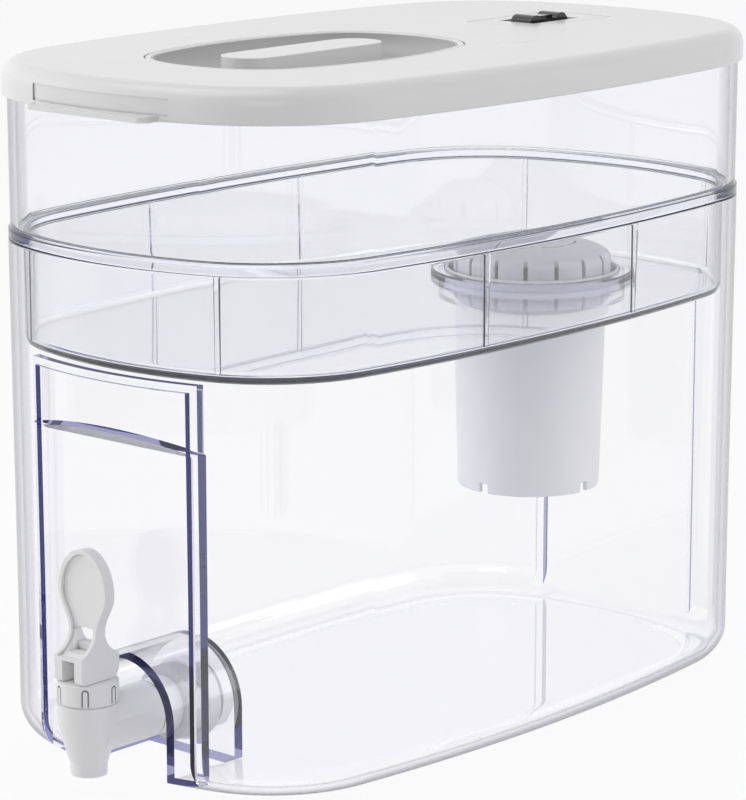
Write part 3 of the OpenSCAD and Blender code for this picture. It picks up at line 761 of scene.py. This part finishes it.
def plate_shell():
    """The indicator's plate, with the rocker's well sunk in it."""
    y = INDICATOR_Y
    plate = as_object(
        block(-15.75, 15.75, y - 27.25, y + 27.25, PLATE_Z, LID_Z), "Indicator_plate")
    combined(plate, as_object(block(-10.5, 10.5, y - 16.5, y + 16.5, 261, 269.9), "Box"), "UNION")
    combined(plate, as_object(block(-9, 9, y - 15, y + 15, 262.5, 280), "Well"))
    combined(plate, as_object(rod(1.25, 19.2, (0, y, AXLE_Z), "X", 48), "Hole"))
    return plate


def rocker_shell():
    """The indicator's rocker: two round humps on a bar, on one axle."""
    y = INDICATOR_Y
    reach = 8.4
    rocker = as_object(rod(1.2, 18.8, (0, y, AXLE_Z), "X", 48), "Indicator_rocker")
    combined(rocker, as_object(
        block(-4.6, 4.6, y - reach, y + reach, 265.8, 270.5), "Bar"), "UNION")
    for side in (-1, 1):
        combined(rocker, as_object(
            rod(4.35, 10.4, (0, y + side * reach, 268.2), "X", 64), "Hump"), "UNION")
    combined(rocker, as_object(block(-2.4, 2.4, y - 7, y + 7, 269.5, 271.7), "Ridge"), "UNION")
    return rocker


def cap_shell():
    """The cartridge's cap: slots run up its side to the shoulder, arc slots ring the shallow
    dome, and an upturned rim stands round it."""
    inside, outside, foot, dome_r = 177.2, 178.5, 159, 130
    slots, arc_slots = 16, 8

    def dome(r, top):
        return r, top - dome_r + math.sqrt(dome_r ** 2 - r * r)
    middle = (0, FILTER_Y, 0)
    cap = as_object(turned(
        [(0, inside), dome(12, inside), dome(24, inside), (28, 174.6), (30.6, 172.2), (31.4, 169),
         (31.4, foot), (33, foot), (33, 170)]
        + round_corner(28.6, 170, 4.4, 0, 70, 9)[1:]
        + [dome(27, 178.3), dome(20, outside), dome(12, outside), dome(5, outside), (0, outside)],
        middle), "Filter_cap")
    combined(cap, as_object(round_about(
        lambda: block(30.9, 36, -0.9, 0.9, 162.5, 180), slots, math.pi / slots, middle), "Slots"))
    combined(cap, as_object(round_about(
        lambda: arc_cutter(17.4, 18.5, 168, 185, math.radians(35)),
        arc_slots, math.radians(5), middle), "Arcs"))
    combined(cap, as_object(turned(
        [(32, foot), (36.4, foot), (36.4, 165.8)] + round_corner(35.7, 165.8, 0.7, 0, 180, 6)[1:]
        + [(35.0, 161.4), (34.4, 160.6), (32, 160.6)], middle), "Rim"), "UNION")
    return cap


def lever_shell():
    """The push lever: a rimmed paddle that narrows to a waist, on a foot whose front is hollowed
    from flank to flank."""
    crown, paddle, waist, taper = 16.5, 12.5, 7.2, 15
    top = LEVER_Z + 50
    down = [crown * (1 - math.cos(math.radians(a))) for a in range(3, 91, 6)] + [
        18, 20, 22, 24, 26, 28, 30, 32, 34, 35.9]

    def half_width(s):
        if s < crown:
            return paddle * math.sqrt(max(0.0, 1 - ((s - crown) / crown) ** 2))
        return waist + 5.3 * (0.5 + 0.5 * math.cos(math.pi * min(1, (s - crown) / taper)))

    def outline(inset, floor):
        side = [(half_width(s), top - s) for s in down]
        side = [(x - inset, z - inset * 0.9 * (1 - min(1, (top - z) / crown)))
                for x, z in side if x > inset + 0.3 and z > floor + 0.4]
        return [(0, top - inset)] + side + [(side[-1][0], floor), (-side[-1][0], floor)] + [
            (-x, z) for x, z in reversed(side)]
    lever = as_object(
        extruded_y(outline(0, LEVER_Z + 9), TAP_Y - 2.3, TAP_Y + 2.6), "Tap_lever")
    foot = [(-8.5, 0), (5.7, 0)] + round_corner(5.7, 4, 4, -90, 0, 6)[1:] \
        + round_corner(12.6, 19.6, 10.3, 254, 180, 12) + [(2.3, 21.5), (-2.0, 21.5)] \
        + round_corner(-13.3, 21, 11.3, 0, -73, 12) + round_corner(-8.5, 1.5, 1.5, 180, 270, 4)[:-1]
    combined(lever, as_object(extruded_x(
        [(TAP_Y + y, LEVER_Z + z) for y, z in foot], -waist, waist), "Foot"), "UNION")
    combined(lever, as_object(extruded_y(
        outline(1.5, LEVER_Z + 18.5), TAP_Y - 6, TAP_Y - 0.8), "Face"))
    front = [(-0.8, 25)] + round_corner(-13.3, 21, 12.5, 0, -64, 14) + [(-22, 10.2), (-22, 25)]
    combined(lever, as_object(extruded_x(
        [(TAP_Y + y, LEVER_Z + z) for y, z in front], 1.5 - waist, waist - 1.5), "Face"))
    combined(lever, as_object(block(
        -3.25, 3.25, TAP_Y - 12, TAP_Y + 4, LEVER_Z - 1, LEVER_Z + 8.5), "Slot"))
    for low, wide, deep in ((10.8, 4.0, -0.5), (13.6, 4.4, 14.0)):
        combined(lever, as_object(extruded_y(
            [(x, LEVER_Z + z) for x, z in (
                (-wide, low), (wide, low), (5.2, 18.2), (3.6, 19.8), (-3.6, 19.8), (-5.2, 18.2))],
            TAP_Y - 14, TAP_Y + deep), "Pocket"))
    combined(lever, as_object(rod(1.3, 11.2, (0, TAP_Y, LEVER_Z + 5), "X", 48), "Hole"))
    return lever


def collar_shell():
    """The tap's collar: rounded at the top, with a seam under it and tall grip grooves round it."""
    collar = as_object(turned(
        [(10.55, 35.2), (11.0, 35.2), (11.0, 35.65), (11.85, 35.85), (11.85, 43.2), (11.6, 43.7),
         (11.1, 43.9), (STEM_R, 43.9), (STEM_R, 41.4), (8.45, 41.4), (8.45, 40.2), (10.55, 40.2)],
        (0, TAP_Y, 0)), "Tap_collar")

    def pill(half, depth):
        """A cutter as wide as a grip groove, round at its top."""
        one = as_object(block(depth, 13, -half, half, 35, 41.4), "Groove")
        return combined(one, as_object(
            rod(half, 13 - depth, ((13 + depth) / 2, 0, 41.4), "X", 32), "End"), "UNION")

    def groove():
        """The outline of one grip groove."""
        one = combined(pill(1.45, 11.0), pill(0.85, 10.0))
        bm = bmesh.new()
        bm.from_mesh(one.data)
        bpy.data.objects.remove(one)
        return bm
    combined(collar, as_object(
        round_about(groove, 6, math.radians(-48.8), (0, TAP_Y, 0)), "Grooves"))
    return collar


def ring_cutter(radius, width, y, z):
    """Cuts a thin seam round a barrel that lies along Y."""
    low, high, side = radius - 0.35, radius + 1, width / 2
    bm = turned([(low, -side), (high, -side), (high, side), (low, side)], (0, 0, 0))
    moved(spun(bm, math.pi / 2, "X"), y=y + AHEAD, z=z)
    bmesh.ops.scale(bm, vec=(MM, MM, MM), verts=bm.verts)
    return bm


# ---------------------------------------------------------------- operators


class MakeLowerTank(bpy.types.Operator):
    """Make the lower tank that the filtered water runs into."""

    bl_idname = "waterfilter.lower_tank"
    bl_label = "Lower tank"

    def execute(self, context):
        looks = context.scene.tank_looks
        # the lower tank gets a lighter painted edge shade, 2.6 times the edge tint
        clear = clear_plastic(
            "Clear plastic lower", looks.tint, looks.depth, [2.6 * c for c in looks.rim])
        outer = as_object(swept(
            [(-40, BASE_Z)]
            + round_corner(-2.2 - 14, 15.5, 14, -90, 0, 20)
            + [(-2.2, 17), (-2.2, 40), (-2.1, 75), (-1.82, 120), (-1.6, 160), (-1.4, 192),
               (-1.4, 200.1)]
            + round_corner(-1.4 - 0.8, 200.5, 0.8, 0, 90, 4) + [(-40, RIM_Z)],
            TANK_OVAL), "Lower_tank")
        inner = as_object(swept(
            [(-40, BASE_Z + WALL)]
            + round_corner(-5.2 - 11, 15.5, 11, -90, 0, 16)
            + [(-5.2, 17), (-5.2, 40), (-5.1, 75), (-4.82, 120), (-4.6, 160), (-4.4, 192),
               (-4.4, 204), (-40, 204)],
            TANK_OVAL), "Inside")
        for grown, shape in ((0.0, outer), (WALL, inner)):
            for tool in recess_tools(grown):
                combined(shape, tool)
        combined(outer, inner)
        combined(outer, as_object(rod(8.25, 8, (0, -114.5, SHANK_Z), "Y"), "Hole"))
        foot = as_object(swept([(-22.4, 0), (-17.4, 0), (-17.4, 2.2), (-22.4, 2.2)],
                               TANK_OVAL, closed=True), "Foot")
        half = TANK_OVAL[0]
        for x0, x1, y0, y1 in ((-half, 0, -60, -16), (0, half, -118.08, -59.04),
                               (-42, 42, -165, -105), (-30, 30, 124, 164)):
            combined(foot, as_object(block(x0, x1, y0, y1, -2, 4), "Gap"))
        combined(outer, foot, "UNION")
        shelled(outer, "lower_tank", clear, CLEAR_CREASE, looks.edge, True)
        return {"FINISHED"}


class MakeReservoir(bpy.types.Operator):
    """Make the reservoir that nests in the lower tank."""

    bl_idname = "waterfilter.reservoir"
    bl_label = "Reservoir"

    def execute(self, context):
        looks = context.scene.tank_looks
        clear = clear_plastic("Clear plastic upper", looks.tint, looks.depth * 2.0, looks.rim)
        low, floor, top, inside = 160.2, 163, 264.5, HANG + WALL
        wall = as_object(swept(
            [(-40, low), (-12, low)]
            + round_corner(-HANG - 4, low + 4, 4, -90, 0, 8)
            + [(-HANG, 165), (-HANG, 180), (-HANG, 200.9), (-6.8, RIM_Z), (-2.2, RIM_Z)]
            + round_corner(-2.2, 202.1, 0.8, -90, 0, 4)
            + round_corner(-2.3, 204.4, 0.9, 0, 70, 4)
            + [(-2.2, 205.9), (-2.2, 207), (-2.0, 250), (-2.0, top), (-5.0, top), (-5.0, 250)]
            + [(-5.1, 208)] + round_corner(-6.3, 206.4, 1.2, 0, -84, 5)
            + round_corner(-9.2, 204.2, 1.0, 96, 180, 5)
            + [(-inside, 203.4), (-inside, 180), (-inside, 165.6)]
            + round_corner(-inside - 2, floor + 2, 2, 0, -90, 6) + [(-13, floor), (-40, floor)],
            TANK_OVAL), "Reservoir")
        for x, y, r, a in RIBS:
            combined(wall, as_object(rib(x, y, r, a), "Rib"), "UNION")
        socket = as_object(turned([
            (32.5, 151.5), (39.25, 151.5), (39.25, 153.5), (39.2, 153.5), (39.2, 160.7),
            (42.4, 160.7), (42.4, 165.2), (41.6, 166), (32.5, 166)], (0, FILTER_Y, 0)), "Socket")
        combined(wall, socket, "UNION")
        for radius, low, high in ((37.0, 155.0, 195.0), (33.0, 145.0, 185.0)):
            combined(wall, as_object(
                rod(radius, high - low, (0, FILTER_Y, (low + high) / 2), "Z", 128), "Hole"))
        shelled(wall, "reservoir", clear, CLEAR_CREASE, looks.edge * 0.6, True)
        return {"FINISHED"}


class MakeLid(bpy.types.Operator):
    """Make the lid, its fill cover and the replacement indicator."""

    bl_idname = "waterfilter.lid"
    bl_label = "Lid"

    def execute(self, context):
        looks = context.scene.cover_looks
        white = moulded("White gloss", looks.white, 0.26, 1400.0, 0.006, 0.15, 0.03)
        bowl = moulded("Bowl grey", looks.bowl, 0.42, 1100.0, 0.05)
        seal = moulded("Seal", (0.62, 0.62, 0.63), 0.6, 900.0, 0.08)
        black = moulded("Rocker black", looks.black, 0.14, 1500.0, 0.005, 0.4, 0.03)
        shelled(lid_shell(), "lid", white, CREASE, looks.edge)
        shelled(cover_shell(), "fill_cover", white, CREASE, looks.edge)
        shelled(bowl_shell(), "fill_cover_bowl", bowl, CREASE, looks.edge)
        dressed("cover_seal", "Cover_seal", seal, CREASE)
        shelled(plate_shell(), "indicator_plate", white, CREASE, looks.edge)
        shelled(rocker_shell(), "indicator_rocker", black, CREASE, looks.edge * 2)
        return {"FINISHED"}


class MakeCartridge(bpy.types.Operator):
    """Make the hanging filter cartridge."""

    bl_idname = "waterfilter.cartridge"
    bl_label = "Cartridge"

    def execute(self, context):
        looks = context.scene.filter_looks
        grey = moulded("Cartridge grey", looks.grey, 0.40, 1000.0, 0.04)
        seal = moulded("Cartridge seal", (0.36, 0.36, 0.38), 0.6, 900.0, 0.08)
        mesh = steel("Woven steel", 0.35)
        dressed("filter_housing", "Filter_housing", grey, CREASE, looks.edge)
        cap = moulded("Cap grey", looks.cap, 0.40, 1000.0, 0.04)
        shelled(cap_shell(), "filter_cap", cap, CREASE, looks.edge)
        dressed("filter_seal", "Filter_seal", seal)
        dressed("filter_media", "Filter_media", granules("Carbon granules"))
        dressed("upper_mesh", "Upper_mesh", mesh)
        dressed("lower_mesh", "Lower_mesh", mesh)
        return {"FINISHED"}


class MakeTap(bpy.types.Operator):
    """Make the tap and the fittings on its shank."""

    bl_idname = "waterfilter.tap"
    bl_label = "Tap"

    def execute(self, context):
        looks = context.scene.tap_looks
        grey = moulded("Tap grey", looks.grey, 0.36, 1000.0, 0.04)
        rubber = moulded("Gasket rubber", looks.rubber, 0.62, 420.0, 0.5)
        soft = moulded("Plug rubber", (0.40, 0.40, 0.42), 0.6, 900.0, 0.08)
        wire = steel("Spring steel", 0.25)
        for node, name in (
            ("tap_body", "Tap_body"), ("valve_stem", "Valve_stem"),
            ("shank_spacer", "Shank_spacer"), ("flange_washer", "Flange_washer"),
            ("hex_nut", "Hex_nut"), ("inlet_screen", "Inlet_screen"),
        ):
            piece = dressed(node, name, grey, CREASE, looks.edge)
            if node == "tap_body":
                combined(piece, as_object(ring_cutter(11, 0.45, -140.5, SHANK_Z), "Seam"))
        shelled(collar_shell(), "tap_collar", grey, CREASE, looks.edge * 0.6)
        shelled(lever_shell(), "tap_lever", grey, CREASE, looks.edge)
        dressed("outer_gasket", "Outer_gasket", rubber, CREASE, looks.edge)
        dressed("inner_washer", "Inner_washer", soft, CREASE)
        dressed("valve_plug", "Valve_plug", soft, CREASE)
        dressed("lever_pin", "Lever_pin", wire)
        spring = dressed("tap_spring", "Tap_spring", wire)
        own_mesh(spring)
        return {"FINISHED"}


# name, place, width of the lamp, share of the key light's power, whether it is seen in gloss
LAMPS = (
    ("Above", (-0.30, -0.35, 1.55), 1.1, 1.0, True),
    ("Left", (-1.25, -0.75, 0.55), 0.9, 1.40, False),
    ("Right", (1.15, 0.95, 0.60), 0.9, 0.90, False),
    ("Front", (0.95, -1.35, 0.75), 0.8, 0.45, True),
)
LAMP_AIM = (0, 0, 0.13)
FLOOR_GLOW = 0.90  # share of the floor that glows white where it is seen directly
VIEW_TURN, VIEW_RISE = 41.2407, 12.3669  # where the camera stands, in degrees
VIEW_TARGET = (-0.0023511, 0.0040523, 0.1235258)
VIEW_DISTANCE = 1.44506
VIEW_LENS = 160.13


class MakeStage(bpy.types.Operator):
    """Make the floor, the light and the camera."""

    bl_idname = "waterfilter.stage"
    bl_label = "Stage"

    def execute(self, context):
        looks = context.scene.stage_looks
        scene = context.scene
        scene.view_settings.view_transform = "Standard"

        bm = bmesh.new()
        bmesh.ops.create_grid(bm, x_segments=1, y_segments=1, size=6.0)
        mesh = bpy.data.meshes.new("Floor")
        bm.to_mesh(mesh)
        bm.free()
        floor = bpy.data.objects.new("Floor", mesh)
        scene.collection.objects.link(floor)
        m, tree, out = finish_of("Floor")
        matt = tree.nodes.new("ShaderNodeBsdfPrincipled")
        matt.inputs["Base Color"].default_value = (*looks.floor, 1)
        matt.inputs["Roughness"].default_value = 0.6
        pale = tree.nodes.new("ShaderNodeEmission")
        pale.inputs["Strength"].default_value = 1.0
        blend = tree.nodes.new("ShaderNodeMixShader")
        glow = maths(tree, "MULTIPLY", seen_directly(tree), FLOOR_GLOW)
        tree.links.new(glow, blend.inputs["Fac"])
        tree.links.new(matt.outputs["BSDF"], blend.inputs[1])
        tree.links.new(pale.outputs["Emission"], blend.inputs[2])
        tree.links.new(blend.outputs["Shader"], out.inputs["Surface"])
        mesh.materials.append(m)

        world = bpy.data.worlds.new("Studio")
        scene.world = world
        world.use_nodes = True
        tree = world.node_tree
        tree.nodes.clear()
        out = tree.nodes.new("ShaderNodeOutputWorld")
        lamp = tree.nodes.new("ShaderNodeBackground")
        lamp.inputs["Color"].default_value = (1, 1, 1, 1)
        lamp.inputs["Strength"].default_value = looks.sky
        seen = tree.nodes.new("ShaderNodeBackground")
        seen.inputs["Color"].default_value = (1, 1, 1, 1)
        seen.inputs["Strength"].default_value = 1.0
        mix = tree.nodes.new("ShaderNodeMixShader")
        tree.links.new(seen_directly(tree), mix.inputs["Fac"])
        tree.links.new(lamp.outputs["Background"], mix.inputs[1])
        tree.links.new(seen.outputs["Background"], mix.inputs[2])
        tree.links.new(mix.outputs["Shader"], out.inputs["Surface"])

        for name, place, size, share, glossy in LAMPS:
            light = bpy.data.lights.new(name, "AREA")
            light.energy = looks.key * share
            light.size = size
            lamp_object = bpy.data.objects.new(name, light)
            lamp_object.location = place
            lamp_object.visible_glossy = glossy
            aim = Vector(LAMP_AIM) - Vector(place)
            lamp_object.rotation_euler = aim.to_track_quat("-Z", "Y").to_euler()
            scene.collection.objects.link(lamp_object)

        turn, rise = math.radians(VIEW_TURN), math.radians(VIEW_RISE)
        back = Vector((
            math.sin(turn) * math.cos(rise),
            -math.cos(turn) * math.cos(rise),
            math.sin(rise),
        ))
        lens = bpy.data.cameras.new("Camera")
        lens.lens = VIEW_LENS
        lens.clip_start = 0.05
        lens.clip_end = 30
        camera = bpy.data.objects.new("Camera", lens)
        camera.location = Vector(VIEW_TARGET) + back * VIEW_DISTANCE
        camera.rotation_euler = (-back).to_track_quat("-Z", "Y").to_euler()
        scene.collection.objects.link(camera)
        scene.camera = camera
        return {"FINISHED"}


class WaterFilterPanel(bpy.types.Panel):
    """Lists the pieces and their looks."""

    bl_idname = "VIEW3D_PT_waterfilter"
    bl_label = "Water filter"
    bl_space_type = "VIEW_3D"
    bl_region_type = "UI"
    bl_category = "Water filter"

    def draw(self, context):
        for step in STEPS:
            self.layout.operator(step.bl_idname)
        for looks in LOOKS:
            box = self.layout.box()
            group = getattr(context.scene, looks)
            for name in group.__annotations__:
                box.prop(group, name)


LOOKS = {
    "tank_looks": TankLooks,
    "cover_looks": CoverLooks,
    "filter_looks": FilterLooks,
    "tap_looks": TapLooks,
    "stage_looks": StageLooks,
}
STEPS = (MakeLowerTank, MakeReservoir, MakeLid, MakeCartridge, MakeTap, MakeStage)


def register():
    for looks in LOOKS.values():
        bpy.utils.register_class(looks)
    for step in STEPS:
        bpy.utils.register_class(step)
    bpy.utils.register_class(WaterFilterPanel)
    for name, looks in LOOKS.items():
        setattr(bpy.types.Scene, name, bpy.props.PointerProperty(type=looks))


def unregister():
    for name in LOOKS:
        delattr(bpy.types.Scene, name)
    bpy.utils.unregister_class(WaterFilterPanel)
    for step in reversed(STEPS):
        bpy.utils.unregister_class(step)
    for looks in reversed(list(LOOKS.values())):
        bpy.utils.unregister_class(looks)


def main():
    """Builds everything."""
    register()
    bpy.ops.waterfilter.lower_tank()
    bpy.ops.waterfilter.reservoir()
    bpy.ops.waterfilter.lid()
    bpy.ops.waterfilter.cartridge()
    bpy.ops.waterfilter.tap()
    bpy.ops.waterfilter.stage()


if __name__ == "__main__":
    main()
